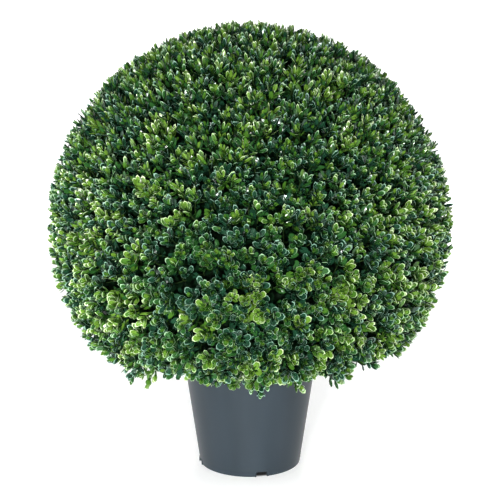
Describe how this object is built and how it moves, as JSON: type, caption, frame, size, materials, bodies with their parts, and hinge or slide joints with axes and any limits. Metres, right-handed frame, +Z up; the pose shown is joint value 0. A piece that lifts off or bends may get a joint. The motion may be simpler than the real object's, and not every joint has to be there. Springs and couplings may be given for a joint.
{
  "type": "artificial box topiary ball in a plain pot",
  "caption": "Artificial clipped box ball standing in a plain tapered plastic pot, ready to set on a patio, step or floor.",
  "frame": {"origin": "centre of the pot's foot, on the surface that it stands on", "axes": "+Z up along the axis of the pot, post and ball; +X to the right and -Y towards the viewer of the front"},
  "size_m": [0.507, 0.5088, 0.5617],
  "materials": {
    "pot_plastic": "satin moulded plastic, slate grey",
    "filling": "rough cast cement",
    "stem_wood": "rough bark",
    "foliage": "satin moulded leaves, dark green with pale edges"
  },
  "bodies": {
    "root": {"pot": "pot_plastic", "pot_filling": "filling", "stem": "stem_wood", "foliage_ball": "foliage"}
  },
  "joints": []
}
